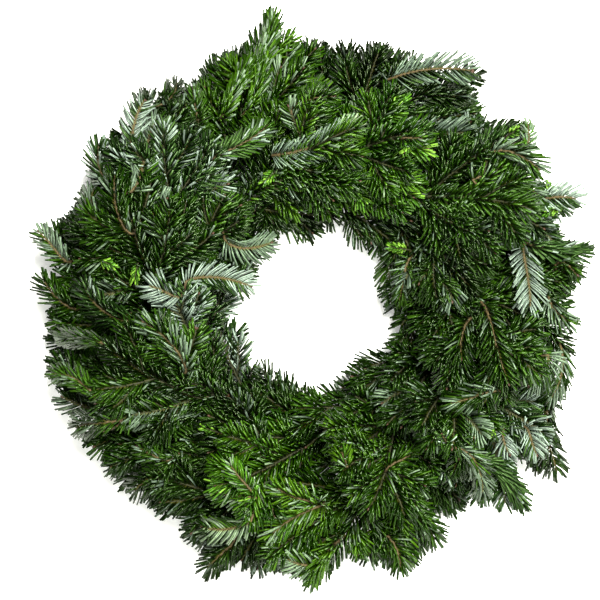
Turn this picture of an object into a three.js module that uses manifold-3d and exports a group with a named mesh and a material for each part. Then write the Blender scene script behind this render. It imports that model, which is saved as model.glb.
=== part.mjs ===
// A fresh fir wreath, lying on its back with its face up (+Z).
// Fifty cut sprays of fir are held, five to a clamp, on a welded ring of steel wire.
// All sprays run clockwise as seen from the front, each one covering the stems of the next.
// Lengths are in millimetres and angles in degrees. A clock angle runs clockwise from +Y.
import * as THREE from "three";
import { mergeVertices } from "three/addons/utils/BufferGeometryUtils.js";
import Module from "manifold-3d";

// The wire frame
const FRAME_RADIUS = 140; // middle between the two rails
const RAIL_SPACING = 26;
const RAIL_WIRE = 3.6;
const RAIL_STEPS = 30;
const CLAMP_COUNT = 10;
const FIRST_CLAMP = -12; // clock angle
const CLAMP_WIRE = 2.6;
const CLAMP_WIDTH = 36; // across the stems
const CLAMP_OVERLAP = 7; // how far each folded prong passes the middle
const PRONG_OFFSET = 1.6; // each prong's middle from the clamp's middle, so that they lie side by side
const WELD_DEPTH = 1; // how far the clamps are sunk into the rails

// The cut stems that the clamps hold
const STEM_RADIUS = 3.3; // a three-sided rod with a flat side down and an edge up
const STEM_PITCH = 6.4; // from one stem to the next in a clamp
const BUTT_LENGTH = 14; // behind the clamp
const EXIT_LENGTH = 9; // straight run after the clamp
const STEM_LENGTH = 44; // from the butt to where the twig takes over
const BARE_LENGTH = 54; // from the butt to the first needles
const FORK_BARE = 20; // the same on a side twig
const CLEARANCE = 0.3;
const EXIT_PULL = 0.16; // shares of a spray's length over which it keeps its direction at each end
const TIP_PULL = 0.38;

// Twigs and needles
const CORE_SIDES = 3;
const CORE_RADIUS = 2.1;
const CORE_TIP_RADIUS = 1.3;
const FORK_RADIUS = 1.7;
const FORK_ROOT_RADIUS = 0.9; // where it is sunk in the main twig
const FORK_PLACE = 0.35; // where a side twig leaves, as a share of the way from one whorl to the next
const FORK_SPREAD = 8; // a side twig leaves this much wider than it ends
const WHORL_SPACING = 22; // at least this, from one whorl of needles to the next
const NEEDLE_LENGTH = 25;
const NEEDLE_FOOT = 2.6; // length of a needle's root along the twig
const NEEDLE_TIP_RADIUS = 0.1;
const SIDE_LEAN = 58; // angle between a needle and its twig at the sides, on top, and in the last whorl
const TOP_LEAN = 44;
const LAST_LEAN = 26;
const LAST_LENGTH = 0.72; // share of the full length in the last whorl
const FLATTEN_ABOVE = 0.75; // needles above and below the twig are parted towards its sides
const FLATTEN_BELOW = 0.45;
const NEEDLE_GAP = 0.5; // least space between the needles of two sprays
const TWIG_GAP = 1.5; // the same between twigs
const FLOOR_GAP = 1;

// The rows of sprays, from the hole to the rim. seat is the stem's place in its clamp, tipHeight is above
// the surface, curl turns the tip clockwise and rise is the slope there. A fork is [place along the spray,
// side (1 is towards the hole), length as a share of the spray, angle].
// tips has one entry for each clamp, clockwise from twelve: [clock angle of the tip, its reach from the
// middle of the wreath, tone].
const ROWS = {
  inner_spray: {
    seat: -2, tipHeight: 34, curl: 12, rise: 6,
    forks: [[0.5, 1, 0.36, 26], [0.56, -1, 0.5, 38]],
    tips: [
      [50, 108, "dark"], [86, 102, "fresh"], [120, 112, "dark"], [152, 103, "green"], [190, 112, "green"],
      [216, 105, "dark"], [256, 106, "silver"], [294, 97, "silver"], [325, 95, "dark"], [3, 97, "dark"],
    ],
  },
  upper_inner_spray: {
    seat: -1, tipHeight: 74, curl: 12, rise: 8,
    forks: [[0.5, -1, 0.42, 40], [0.62, 1, 0.36, 38]],
    tips: [
      [40, 168, "bright"], [84, 165, "dark"], [110, 160, "green"], [144, 156, "green"], [172, 158, "fresh"],
      [222, 176, "dark"], [250, 170, "green"], [276, 150, "silver"], [320, 150, "green"], [1, 150, "dark"],
    ],
  },
  crown_spray: {
    seat: 0, tipHeight: 106, curl: 14, rise: 10,
    forks: [[0.48, 1, 0.44, 40], [0.62, -1, 0.38, 38]],
    tips: [
      [32, 214, "bright"], [66, 246, "green"], [116, 220, "green"], [136, 204, "green"], [165, 216, "fresh"],
      [209, 212, "bright"], [259, 220, "green"], [302, 236, "green"], [320, 244, "silver"], [13, 190, "fresh"],
    ],
  },
  upper_outer_spray: {
    seat: 1, tipHeight: 64, curl: 20, rise: 6,
    forks: [[0.46, 1, 0.44, 38], [0.56, -1, 0.3, 30]],
    tips: [
      [35, 297, "dark"], [68, 286, "silver"], [100, 268, "green"], [136, 290, "silver"], [181, 284, "fresh"],
      [218, 264, "dark"], [250, 284, "green"], [286, 288, "green"], [321, 282, "dark"], [351, 299, "fresh"],
    ],
  },
  outer_spray: {
    seat: 2, tipHeight: 26, curl: 16, rise: 2,
    forks: [[0.5, -1, 0.42, 40], [0.62, 1, 0.36, 38]],
    tips: [
      [14, 280, "dark"], [49, 288, "green"], [79, 284, "green"], [125, 298, "dark"], [158, 287, "green"],
      [202, 290, "silver"], [234, 272, "green"], [263, 284, "green"], [303, 277, "dark"], [338, 282, "dark"],
    ],
  },
};

// Tones of fresh fir: glossy dark green, plain green, young green, bright new growth, grey undersides
const TONES = {
  dark: "#24421f",
  green: "#2f5a23",
  fresh: "#4a7a2a",
  bright: "#5c9a2c",
  silver: "#6c8a74",
};
const WIRE_LOOK = { color: "#4d5a4c", roughness: 0.45, metalness: 0.8 };
const NEEDLE_ROUGHNESS = 0.55;

const wasm = await Module();
wasm.setup();

const UP = new THREE.Vector3(0, 0, 1);
const FLAT_DOWN = Math.PI / 2; // turns a three-sided rod's flat side down
const rad = THREE.MathUtils.degToRad;
const railTop = RAIL_WIRE * Math.cos(rad(30));
const clampFloor = railTop - WELD_DEPTH + CLAMP_WIRE; // top of the bar below the stems
const stemHeight = clampFloor + CLEARANCE + STEM_RADIUS / 2;
const clampRoof = stemHeight + STEM_RADIUS + CLEARANCE; // underside of the folded prongs

const outward = (clock) => new THREE.Vector3(Math.sin(rad(clock)), Math.cos(rad(clock)), 0);
const forward = (clock) => new THREE.Vector3(Math.cos(rad(clock)), -Math.sin(rad(clock)), 0);
const clockOf = (clamp) => FIRST_CLAMP + (clamp * 360) / CLAMP_COUNT;

// A closed mesh, given by its points and triangles, as a solid
function solidOf(points, triangles) {
  const vertProperties = new Float32Array(points.flatMap((p) => p.toArray()));
  const triVerts = new Uint32Array(triangles.flat());
  return new wasm.Manifold(new wasm.Mesh({ numProp: 3, vertProperties, triVerts }));
}

// A geometry as a solid, after its seams are closed
function solidOfGeometry(geometry) {
  geometry.deleteAttribute("normal");
  geometry.deleteAttribute("uv");
  const merged = mergeVertices(geometry, 1e-3);
  return new wasm.Manifold(
    new wasm.Mesh({
      numProp: 3,
      vertProperties: merged.attributes.position.array,
      triVerts: new Uint32Array(merged.index.array),
    }),
  );
}

// The points and triangles of a rod with one ring of corners for each frame of its path
function rodRings(frames, sides) {
  const raw = new THREE.CylinderGeometry(1, 1, 1, sides, frames.length - 1);
  raw.deleteAttribute("normal");
  raw.deleteAttribute("uv");
  const rod = mergeVertices(raw, 1e-3);
  const at = rod.attributes.position;
  const rings = [];
  const points = [];
  for (let i = 0; i < at.count; i++) {
    const ring = Math.round((0.5 - at.getY(i)) * (frames.length - 1));
    const { centre, side, up, radius, twist } = frames[ring];
    const spread = Math.hypot(at.getX(i), at.getZ(i));
    const angle = Math.atan2(at.getX(i), at.getZ(i)) + twist;
    points.push(
      centre
        .clone()
        .addScaledVector(side, Math.cos(angle) * radius * spread)
        .addScaledVector(up, Math.sin(angle) * radius * spread),
    );
    rings.push(ring);
  }
  const triangles = [];
  for (let i = 0; i < rod.index.count; i += 3) triangles.push([0, 1, 2].map((k) => rod.index.getX(i + k)));
  return { points, triangles, rings };
}

// The frame of a path at a distance from its start: centre, direction, and the ways to its side and up
function frameAt(path, distance, radius, twist = 0) {
  const share = THREE.MathUtils.clamp(distance / path.getLength(), 0, 1);
  const centre = path.getPointAt(share);
  const along = path.getTangentAt(share);
  const side = along.clone().cross(UP).normalize();
  return { distance, centre, along, side, up: side.clone().cross(along), radius, twist };
}

// Straight pieces of a twig or wire, as thick lines that others keep clear of
function thickLine(start, end, startRadius, endRadius, owner) {
  const line = new THREE.Line3(start, end);
  const middle = line.getCenter(new THREE.Vector3());
  return { line, startRadius, endRadius, owner, middle, reach: line.distance() / 2 };
}

const near = new THREE.Vector3();
const nearOther = new THREE.Vector3();
function touches(a, b, gap) {
  const most = Math.max(a.startRadius, a.endRadius) + Math.max(b.startRadius, b.endRadius) + gap;
  if (a.middle.distanceTo(b.middle) > a.reach + b.reach + most) return false;
  const apart = Math.sqrt(a.line.distanceSqToLine3(b.line, near, nearOther));
  const share = (piece, point) => piece.line.start.distanceTo(point) / piece.reach / 2;
  const thick = (piece, point) => THREE.MathUtils.lerp(piece.startRadius, piece.endRadius, share(piece, point));
  return apart < thick(a, near) + thick(b, nearOther) + gap;
}

// The path of a spray from its butt, straight through the clamp and out to its tip
function sprayPath(row, clamp) {
  const clock = clockOf(clamp);
  const [tipClock, tipReach] = row.tips[clamp];
  const seat = outward(clock).multiplyScalar(FRAME_RADIUS + row.seat * STEM_PITCH).setZ(stemHeight);
  const butt = seat.clone().addScaledVector(forward(clock), -BUTT_LENGTH);
  const exit = seat.clone().addScaledVector(forward(clock), EXIT_LENGTH);
  const tip = outward(tipClock).multiplyScalar(tipReach).setZ(row.tipHeight);
  const chord = tip.clone().sub(exit).setZ(0);
  const away = chord.clone().normalize().applyAxisAngle(UP, -rad(row.curl));
  away.z = Math.tan(rad(row.rise));
  const bend = chord.length() * TIP_PULL;
  const path = new THREE.CurvePath();
  path.add(new THREE.LineCurve3(butt, exit));
  path.add(
    new THREE.CubicBezierCurve3(
      exit,
      exit.clone().addScaledVector(forward(clock), chord.length() * EXIT_PULL),
      tip.clone().addScaledVector(away, -bend),
      tip,
    ),
  );
  return path;
}

// A side twig: it leaves the main one shortly before a whorl of needles and bends a little forward
function forkPath(main, [place, side, share, fullAngle], turn, shorten) {
  const span = main.length - BUTT_LENGTH;
  const off = (frame) => Math.abs(frame.distance - BUTT_LENGTH - place * span);
  const whorl = main.bands.slice(1).reduce((a, b) => (off(main.frames[b]) < off(main.frames[a]) ? b : a));
  const [before, after] = [main.frames[whorl - 1], main.frames[whorl]];
  const start = before.centre.clone().lerp(after.centre, FORK_PLACE);
  const length = share * span * shorten;
  const angle = fullAngle * turn;
  const way = (degrees) => after.along.clone().applyAxisAngle(after.up, -side * rad(degrees));
  const elbow = start.clone().addScaledVector(way(angle + FORK_SPREAD), length / 2);
  const end = start.clone().addScaledVector(way(angle), length);
  return new THREE.QuadraticBezierCurve3(start, elbow, end);
}

// A side twig bent clear of all other sprays: its angle and length shrink until it fits
const FORK_TRIES = [[1, 1], [0.75, 1], [0.75, 0.8], [0.5, 0.8], [0.5, 0.6], [0.4, 0.4]];
function clearFork(main, fork, name, obstacles) {
  for (const [turn, shorten] of FORK_TRIES) {
    const path = forkPath(main, fork, turn, shorten);
    const twig = twigCore(path, [[0, FORK_ROOT_RADIUS]], FORK_BARE, FORK_RADIUS, name + fork[1]);
    const others = obstacles.filter((o) => !o.owner.startsWith(name));
    const blocked = others.some((o) => twig.lines.some((line) => touches(line, o, TWIG_GAP)));
    if (!blocked) return [twig];
  }
  return [];
}

// Where the whorls of needles sit on a twig: the distance from its start, and their turn about it
function whorlsOf(length, bare) {
  const last = length - NEEDLE_FOOT - 1;
  const count = Math.max(1, Math.floor((last - bare) / WHORL_SPACING));
  const pitch = (last - bare) / count;
  const twist = (i) => FLAT_DOWN + (i * Math.PI) / 2;
  return Array.from({ length: count + 1 }, (_, i) => ({ at: bare + i * pitch, twist: twist(i) }));
}

// A twig with its needles still to be raised: a slim three-sided core with a short band under each whorl.
// root lists the plain rings before the needles, each with its distance and radius.
function twigCore(path, root, bare, startRadius, owner) {
  const length = path.getLength();
  const radiusAt = (d) => THREE.MathUtils.lerp(startRadius, CORE_TIP_RADIUS, d / length);
  const frames = root.map(([distance, radius]) => frameAt(path, distance, radius, FLAT_DOWN));
  const bands = [];
  for (const { at, twist } of whorlsOf(length, bare)) {
    bands.push(frames.length);
    frames.push(frameAt(path, at, radiusAt(at), twist));
    frames.push(frameAt(path, at + NEEDLE_FOOT, radiusAt(at), twist + Math.PI / CORE_SIDES));
  }
  const lines = frames.slice(1).map((after, i) => {
    const before = frames[i];
    return thickLine(before.centre, after.centre, before.radius, after.radius, owner);
  });
  return { ...rodRings(frames, CORE_SIDES), frames, bands, lines, length, owner };
}

// Needles stand on the short bands. Those at the sides spread most, those below lie out to the sides,
// and the last ones on a twig point ahead in a tuft.
function raiseNeedles(twig, obstacles) {
  const { points, frames, rings, bands } = twig;
  const raised = [];
  for (const triangle of twig.triangles) {
    const low = Math.min(...triangle.map((i) => rings[i]));
    const high = Math.max(...triangle.map((i) => rings[i]));
    if (high === low || !bands.includes(low)) {
      raised.push(triangle);
      continue;
    }
    const frame = frames[low];
    const foot = new THREE.Vector3();
    triangle.forEach((i) => foot.addScaledVector(points[i], 1 / 3));
    const fromCore = foot.clone().sub(frame.centre);
    const across = fromCore.dot(frame.side);
    const above = fromCore.dot(frame.up);
    const atTip = bands.indexOf(low) === bands.length - 1;
    const needle = placeNeedle(twig, foot, frame, across, above, atTip, obstacles);
    if (!needle) {
      raised.push(triangle);
      continue;
    }
    obstacles.push(needle);
    const apex = points.push(needle.line.end) - 1;
    triangle.forEach((corner, k) => raised.push([corner, triangle[(k + 1) % 3], apex]));
  }
  twig.triangles = raised;
}

// Leans and lengths to try for one needle, until it is clear of all other sprays
const NEEDLE_TRIES = [[0, 1], [-14, 1], [0, 0.75], [-24, 0.8], [-30, 0.55]];
function placeNeedle(twig, foot, frame, across, above, atTip, obstacles) {
  const spread = new THREE.Vector3()
    .addScaledVector(frame.side, across)
    .addScaledVector(frame.up, above * (above < 0 ? FLATTEN_BELOW : FLATTEN_ABOVE))
    .normalize();
  const lean = atTip ? LAST_LEAN : above > Math.abs(across) / 2 ? TOP_LEAN : SIDE_LEAN;
  for (const [turn, share] of NEEDLE_TRIES) {
    const angle = rad(Math.max(lean + turn, LAST_LEAN / 2));
    const length = NEEDLE_LENGTH * share * (atTip ? LAST_LENGTH : 1);
    const end = foot
      .clone()
      .addScaledVector(frame.along, Math.cos(angle) * length)
      .addScaledVector(spread, Math.sin(angle) * length);
    if (end.z < FLOOR_GAP) continue;
    const needle = thickLine(foot, end, CORE_RADIUS, NEEDLE_TIP_RADIUS, twig.owner);
    if (!obstacles.some((o) => o.owner !== twig.owner && touches(needle, o, NEEDLE_GAP))) return needle;
  }
  return null;
}

// One clamp of the frame: a wire below the stems whose two prongs are folded over them, side by side
function clampRod(clamp) {
  const half = CLAMP_WIDTH / 2;
  const low = clampFloor - CLAMP_WIRE / 2;
  const high = clampRoof + CLAMP_WIRE / 2;
  const route = [
    [CLAMP_OVERLAP, high, PRONG_OFFSET], [-half, high, PRONG_OFFSET], [-half, low, 0],
    [half, low, 0], [half, high, -PRONG_OFFSET], [-CLAMP_OVERLAP, high, -PRONG_OFFSET],
  ];
  const clock = clockOf(clamp);
  const place = ([across, height, along]) =>
    outward(clock).multiplyScalar(FRAME_RADIUS + across).addScaledVector(forward(clock), along).setZ(height);
  const corners = route.map(place);
  const thick = CLAMP_WIRE / Math.SQRT2;
  const frames = corners.map((centre, i) => {
    const before = i ? centre.clone().sub(corners[i - 1]).normalize() : null;
    const after = i < corners.length - 1 ? corners[i + 1].clone().sub(centre).normalize() : null;
    const along = (before && after ? before.clone().add(after) : before ?? after).normalize();
    const up = forward(clock);
    const side = along.clone().cross(up).normalize();
    const mitre = before && after ? 1 / along.dot(after) : 1;
    return { centre, along, side: side.multiplyScalar(mitre), up, radius: thick, twist: Math.PI / 4 };
  });
  const lines = corners.slice(1).map((corner, i) => thickLine(corners[i], corner, thick, thick, "wire_frame"));
  return { ...rodRings(frames, 4), lines };
}

// One rail: a ring of wire of hexagonal section with a flat facet on the surface
function railSolid(radius) {
  const profile = [];
  for (let i = 0; i <= 6; i++)
    profile.push(
      new THREE.Vector2(
        radius + (RAIL_WIRE / 2) * Math.cos(rad(60 * i)),
        railTop / 2 + (RAIL_WIRE / 2) * Math.sin(rad(60 * i)),
      ),
    );
  return solidOfGeometry(new THREE.LatheGeometry(profile, RAIL_STEPS).rotateX(Math.PI / 2));
}

function meshOf(name, solid, look) {
  const made = solid.getMesh();
  const geometry = new THREE.BufferGeometry();
  geometry.setAttribute("position", new THREE.BufferAttribute(new Float32Array(made.vertProperties), 3));
  geometry.setIndex(new THREE.BufferAttribute(new Uint32Array(made.triVerts), 1));
  geometry.computeVertexNormals();
  const mesh = new THREE.Mesh(geometry, new THREE.MeshStandardMaterial(look));
  mesh.name = name;
  return mesh;
}

const wreath = new THREE.Group();
const obstacles = [];

// The frame: two rails welded to ten clamps
const railRadii = [FRAME_RADIUS - RAIL_SPACING / 2, FRAME_RADIUS + RAIL_SPACING / 2];
let frameSolid = railSolid(railRadii[0]).add(railSolid(railRadii[1]));
for (let clamp = 0; clamp < CLAMP_COUNT; clamp++) {
  const { points, triangles, lines } = clampRod(clamp);
  frameSolid = frameSolid.add(solidOf(points, triangles));
  obstacles.push(...lines);
}
for (const radius of railRadii)
  for (let i = 0; i < RAIL_STEPS; i++) {
    const corner = (n) => outward((n * 360) / RAIL_STEPS).multiplyScalar(radius).setZ(railTop / 2);
    obstacles.push(thickLine(corner(i), corner(i + 1), RAIL_WIRE / 2, RAIL_WIRE / 2, "wire_frame"));
  }
wreath.add(meshOf("wire_frame", frameSolid, WIRE_LOOK));

// The twigs of every spray come first, so that all needles can keep clear of them
const STEM_RINGS = [[0, STEM_RADIUS], [BUTT_LENGTH + EXIT_LENGTH, STEM_RADIUS], [STEM_LENGTH, CORE_RADIUS]];
const sprays = [];
for (const [kind, row] of Object.entries(ROWS))
  for (let clamp = 0; clamp < CLAMP_COUNT; clamp++) {
    const name = `${kind}_${String(clamp + 1).padStart(2, "0")}`;
    const leader = sprayPath(row, clamp);
    const main = twigCore(leader, STEM_RINGS, BARE_LENGTH, CORE_RADIUS, name);
    obstacles.push(...main.lines);
    sprays.push({ name, twigs: [main], forks: row.forks, tone: row.tips[clamp][2] });
  }
for (const { name, twigs, forks } of sprays)
  for (const fork of forks)
    for (const twig of clearFork(twigs[0], fork, name, obstacles)) {
      twigs.push(twig);
      obstacles.push(...twig.lines);
    }

for (const { name, twigs, tone } of sprays) {
  twigs.forEach((twig) => raiseNeedles(twig, obstacles));
  const [main, ...forks] = twigs.map(({ points, triangles }) => solidOf(points, triangles));
  const solid = forks.reduce((joined, fork) => joined.add(fork), main);
  wreath.add(meshOf(name, solid, { color: TONES[tone], roughness: NEEDLE_ROUGHNESS, metalness: 0 }));
}

// The wreath's outline is centred on the origin, with the frame's underside at zero height
const middle = new THREE.Box3().setFromObject(wreath).getCenter(new THREE.Vector3());
wreath.position.set(-middle.x, -middle.y, 0);

export default wreath;
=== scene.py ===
"""A wreath of fresh fir sprays in a wire frame, face up on a pale floor and seen from straight above."""
import math

import bmesh
import bpy
import numpy as np
from mathutils import Matrix, Vector


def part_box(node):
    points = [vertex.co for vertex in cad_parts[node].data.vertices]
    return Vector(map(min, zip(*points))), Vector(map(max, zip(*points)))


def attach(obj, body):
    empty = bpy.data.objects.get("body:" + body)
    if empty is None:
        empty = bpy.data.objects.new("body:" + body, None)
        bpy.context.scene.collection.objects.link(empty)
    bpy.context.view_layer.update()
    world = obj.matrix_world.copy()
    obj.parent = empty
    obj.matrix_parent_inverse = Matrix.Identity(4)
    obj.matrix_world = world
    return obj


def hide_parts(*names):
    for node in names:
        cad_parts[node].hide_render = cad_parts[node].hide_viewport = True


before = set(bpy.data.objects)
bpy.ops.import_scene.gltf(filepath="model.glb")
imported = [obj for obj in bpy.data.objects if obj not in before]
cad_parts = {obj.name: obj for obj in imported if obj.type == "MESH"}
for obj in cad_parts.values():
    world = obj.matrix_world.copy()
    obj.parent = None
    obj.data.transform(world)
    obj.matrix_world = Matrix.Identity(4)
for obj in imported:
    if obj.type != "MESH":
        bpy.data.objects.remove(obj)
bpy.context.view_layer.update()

# Lengths are in millimetres and angles in degrees, but meshes are written in metres, and so are the floor
# and lights. A clock angle runs clockwise from twelve. A name in _RANGE holds the least and the greatest
# value that chance gives, and a name in _CHANGE how far chance strays.
METRE = 1000.0
CENTIMETRE = 10.0
LEAST_LENGTH = 1e-9

# How the frame holds the stems
FRAME_RADIUS = 140.0
CLAMP_COUNT = 10
FIRST_CLAMP = -12.0
STEM_PITCH = 6.4
STEM_HEIGHT = 6.67
BUTT_LENGTH = 14.0
EXIT_LENGTH = 9.0
EXIT_PULL = 0.16
TIP_PULL = 0.38
FORK_SPREAD = 8.0

# The frame's round wire: two rails, and ten clamps whose prongs pass each other over the stems
RAIL_SPACING = 26.0
RAIL_RADIUS = 1.55
RAIL_POINTS = 120
CLAMP_RADIUS = 1.3
CLAMP_HALF = 18.0
CLAMP_LOW = 3.42
CLAMP_HIGH = 11.57
CLAMP_OVERLAP = 7.0
PRONG_OFFSET = 1.6
BEND = 3.0
WELD_RADIUS = 2.0
WELD_DROP = 0.9

# Twigs, and how far each kind is bare of needles
LEADER_RADIUS = 1.9
SIDE_RADIUS = 1.15
TOP_TWIG_RADIUS = 1.6
TWIGLET_RADIUS = 0.9
SHOOT_TIP_RADIUS = 0.65
TWIG_SIDES = 6
TWIG_STEP = 9.0
LEADER_BARE = 36.0
SIDE_BARE = 5.0
TWIGLET_BARE = 3.0
TUFT_BARE = 4.0
TOP_TWIG_BARE = 6.0

# Needles. Real ones are 1.5 to 2.5 mm wide and stand closer.
NEEDLES_PER_CM = 12.0
FLAT_THINNING = 0.2
FEWEST_NEEDLES = 3
GOLDEN_ANGLE = math.pi * (3 - math.sqrt(5))
STEP_RANGE = (0.2, 0.8)
TURN_CHANGE = 0.2
FOOT_DEPTH = 0.8
NEEDLE_LENGTH = 25.0
LENGTH_RANGE = (0.86, 1.08)
NEEDLE_WIDTH = 2.5
WIDTH_RANGE = (0.88, 1.08)
NEEDLE_THICKNESS = 0.7

# Where they point: those above rise less on a flat twig, and those at the sides part further
RISE_ABOVE = 0.75
RISE_ABOVE_FLAT = 0.45
RISE_BELOW = 0.2
PARTING = 0.06
PARTING_FLAT = 0.69
SIDE_LEAN = 49.0
TOP_LEAN = 30.0
TIP_LEAN = 27.0
FLAT_LEAN = 0.6
LEAN_CHANGE = 3.0
FACE_CHANGE = 15.0
STEEPEST = 0.7
FLOOR_GAP = 2.0
FLOOR_GAP_RANGE = (0, 4)
FLOOR_TOUCH = 0.3

# Their bend forward and their arch, as shares of their length, and how they shorten above and at both ends
SWEEP_LEAST = 0.06
SWEEP_MOST = 0.16
SWEEP_FLAT = 0.04
ARCH = 0.04
ARCH_CHANGE = 0.03
TOP_SHORTENING = 0.22
TIP_ZONE = 16.0
TIP_SHORTENING = 0.4
START_ZONE = 14.0
START_SIZE = 0.7
START_GROWTH = 0.3

# Each row of sprays: the stem's place in its clamp, the tip's height, curl and slope, the side twigs as
# (place along the spray, side with 1 towards the hole, share of the spray's length, angle), and one
# (clock angle, reach, tone) of the tip for each clamp.
ROWS = {
    "inner_spray": dict(
        seat=-2, tip_height=34, curl=12, rise=6,
        forks=[(0.5, 1, 0.36, 26), (0.56, -1, 0.5, 38)],
        tips=[
            (50, 108, "dark"), (86, 102, "fresh"), (120, 112, "dark"), (152, 103, "green"),
            (190, 112, "green"), (216, 105, "dark"), (256, 106, "silver"), (294, 97, "silver"),
            (325, 95, "dark"), (3, 97, "dark"),
        ],
    ),
    "upper_inner_spray": dict(
        seat=-1, tip_height=74, curl=12, rise=8,
        forks=[(0.5, -1, 0.42, 40), (0.62, 1, 0.36, 38)],
        tips=[
            (40, 168, "bright"), (84, 165, "dark"), (110, 160, "green"), (144, 156, "green"),
            (172, 158, "fresh"), (222, 176, "dark"), (250, 170, "green"), (276, 150, "silver"),
            (320, 150, "green"), (1, 150, "dark"),
        ],
    ),
    "crown_spray": dict(
        seat=0, tip_height=106, curl=14, rise=10,
        forks=[(0.48, 1, 0.44, 40), (0.62, -1, 0.38, 38)],
        tips=[
            (32, 214, "bright"), (66, 246, "green"), (116, 220, "green"), (136, 204, "green"),
            (165, 216, "fresh"), (209, 212, "bright"), (259, 220, "green"), (302, 236, "green"),
            (320, 244, "silver"), (13, 190, "fresh"),
        ],
    ),
    "upper_outer_spray": dict(
        seat=1, tip_height=64, curl=20, rise=6,
        forks=[(0.46, 1, 0.44, 38), (0.56, -1, 0.3, 30)],
        tips=[
            (35, 297, "dark"), (68, 286, "silver"), (100, 268, "green"), (136, 290, "silver"),
            (181, 284, "fresh"), (218, 264, "dark"), (250, 284, "green"), (286, 288, "green"),
            (321, 282, "dark"), (351, 299, "fresh"),
        ],
    ),
    "outer_spray": dict(
        seat=2, tip_height=26, curl=16, rise=2,
        forks=[(0.5, -1, 0.42, 40), (0.62, 1, 0.36, 38)],
        tips=[
            (14, 280, "dark"), (49, 288, "green"), (79, 284, "green"), (125, 298, "dark"),
            (158, 287, "green"), (202, 290, "silver"), (234, 272, "green"), (263, 284, "green"),
            (303, 277, "dark"), (338, 282, "dark"),
        ],
    ),
}

# Further side twigs of every spray beside its row's two, and how they differ from spray to spray
SIDE_TWIGS = [
    (0.26, 1, 0.42, 30), (0.32, -1, 0.44, 34), (0.4, -1, 0.42, 34), (0.54, 1, 0.38, 34),
    (0.7, -1, 0.3, 34), (0.76, 1, 0.26, 34),
]
HIGH_ROWS = ("upper_inner_spray", "crown_spray")
LOW_ROW_TWIGS = 1.25
SHARE_RANGE = (0.85, 1.15)
PLACE_RANGE = (-0.03, 0.03)
ANGLE_CHANGE = 5.0
LIFT_CHANGE = 7.0
ELBOW_RISE = 0.3
FORK_NEAR = 0.05
SHORTEST = 18.0

# The two twiglets of a long side twig: their places along it, length, angles and lift
TWIGLET_FROM = 58.0
TWIGLET_PLACES = (0.34, 0.5)
TWIGLET_SHARE_RANGE = (0.6, 0.85)
TWIGLET_SPREAD = 42.0
TWIGLET_ANGLE = 33.0
TWIGLET_LIFT_CHANGE = 3.0

# How grown twigs differ. One that lies turned over shows the pale undersides of its needles. On the others
# single twisted needles show theirs, and their shares are given for a twig's two sides. The tone is a
# column of the map.
OVER_CHANCE = 0.05
OVER_CHANCE_SILVER = 0.22
OVER_TWISTED = [(0.1, 0.6), (0.6, 0.1), (0.25, 0.25)]
OVER_SPREAD = 3.0
SILVER_TWISTED = (0.16, 0.16)
FEW_TWISTED = (0.05, 0.05)
ROLL_CHANGE = 14.0
GROWN_COLUMN = 4.4
COLUMN_CHANGE = 2.0
GROWN_SPREAD = 2.0
SIDE_YOUTH = 0.6
TWIGLET_YOUTH = 1.0
SIZE_RANGE = (0.9, 1.08)
FLAT_RANGE = (0.0, 0.85)
OUTER_ROWS = ("outer_spray", "upper_outer_spray")
OUTER_DENSITY = 1.2
NEW_TIP_CHANCE = 0.1
NEW_TIP_RANGE = (8, 16)
NEW_TIP_EDGE_RANGE = (-3, 3)
ALL_FLAT = 0.9

# The wreath's outline as (clock angle, reach), at the needles' ends, outside and round the hole
RIM = [
    (0, 285), (12, 288), (24, 297), (34, 306), (37, 280), (43, 276), (51, 294), (57, 274), (62, 282),
    (66, 296), (69, 270), (72, 272), (76, 298), (84, 288), (92, 276), (98, 262), (104, 262), (112, 288),
    (121, 298), (124, 290), (126, 264), (129, 264), (132, 292), (138, 302), (140, 268), (144, 268),
    (147, 286), (160, 302), (170, 284), (190, 296), (204, 306), (213, 275), (224, 286), (246, 292),
    (258, 298), (270, 288), (277, 286), (285, 302), (290, 282), (300, 280), (308, 290), (318, 294),
    (328, 286), (332, 274), (337, 284), (343, 298), (351, 313), (360, 285),
]
HOLE = [
    (0, 76), (8, 90), (24, 93), (36, 86), (46, 91), (58, 85), (72, 76), (86, 80), (100, 90), (120, 97),
    (138, 80), (148, 79), (162, 93), (186, 95), (198, 94), (206, 88), (216, 85), (228, 94), (238, 80),
    (250, 82), (262, 97), (280, 82), (287, 74), (300, 82), (318, 73), (330, 94), (340, 85), (352, 75),
    (360, 76),
]
NEEDLE_REACH = 11.0
HOLE_REACH = 2.0
TOP_HEIGHT = 106.0
LOW_HEIGHT = 4.0

# The photograph's scale, the pixel that the middle of the ring is at, and the camera over a plane that
# lies halfway up the foliage
PIXEL = 1.07
MIDDLE_PIXEL = (315, 306)
PHOTO_MIDDLE = 300
CAMERA_LENS = 100.0
SENSOR = 36.0
SIGHT_HEIGHT = 50.0
CAMERA_HEIGHT = 2 * PHOTO_MIDDLE * PIXEL * CAMERA_LENS / SENSOR

# Small tufts of new growth, in pixels of the photograph
NEW_TIPS = [
    (402, 155), (390, 247), (107, 354), (205, 426), (118, 268), (137, 280), (522, 128), (543, 186),
    (544, 213), (484, 428), (264, 183), (196, 100),
]
TUFT_RISE = 9.0
TUFT_TOP = TOP_HEIGHT + 2
TUFT_ROOT = 20.0
TUFT_BEND = (0.4, 0.4, 0.8)
TUFT_SIZE_RANGE = (0.46, 0.54)
TUFT_ROLL_RANGE = (-20, 20)
TUFT_HABIT = dict(new_tip=99.0, flat=0.6, dense=1.3)

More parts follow.
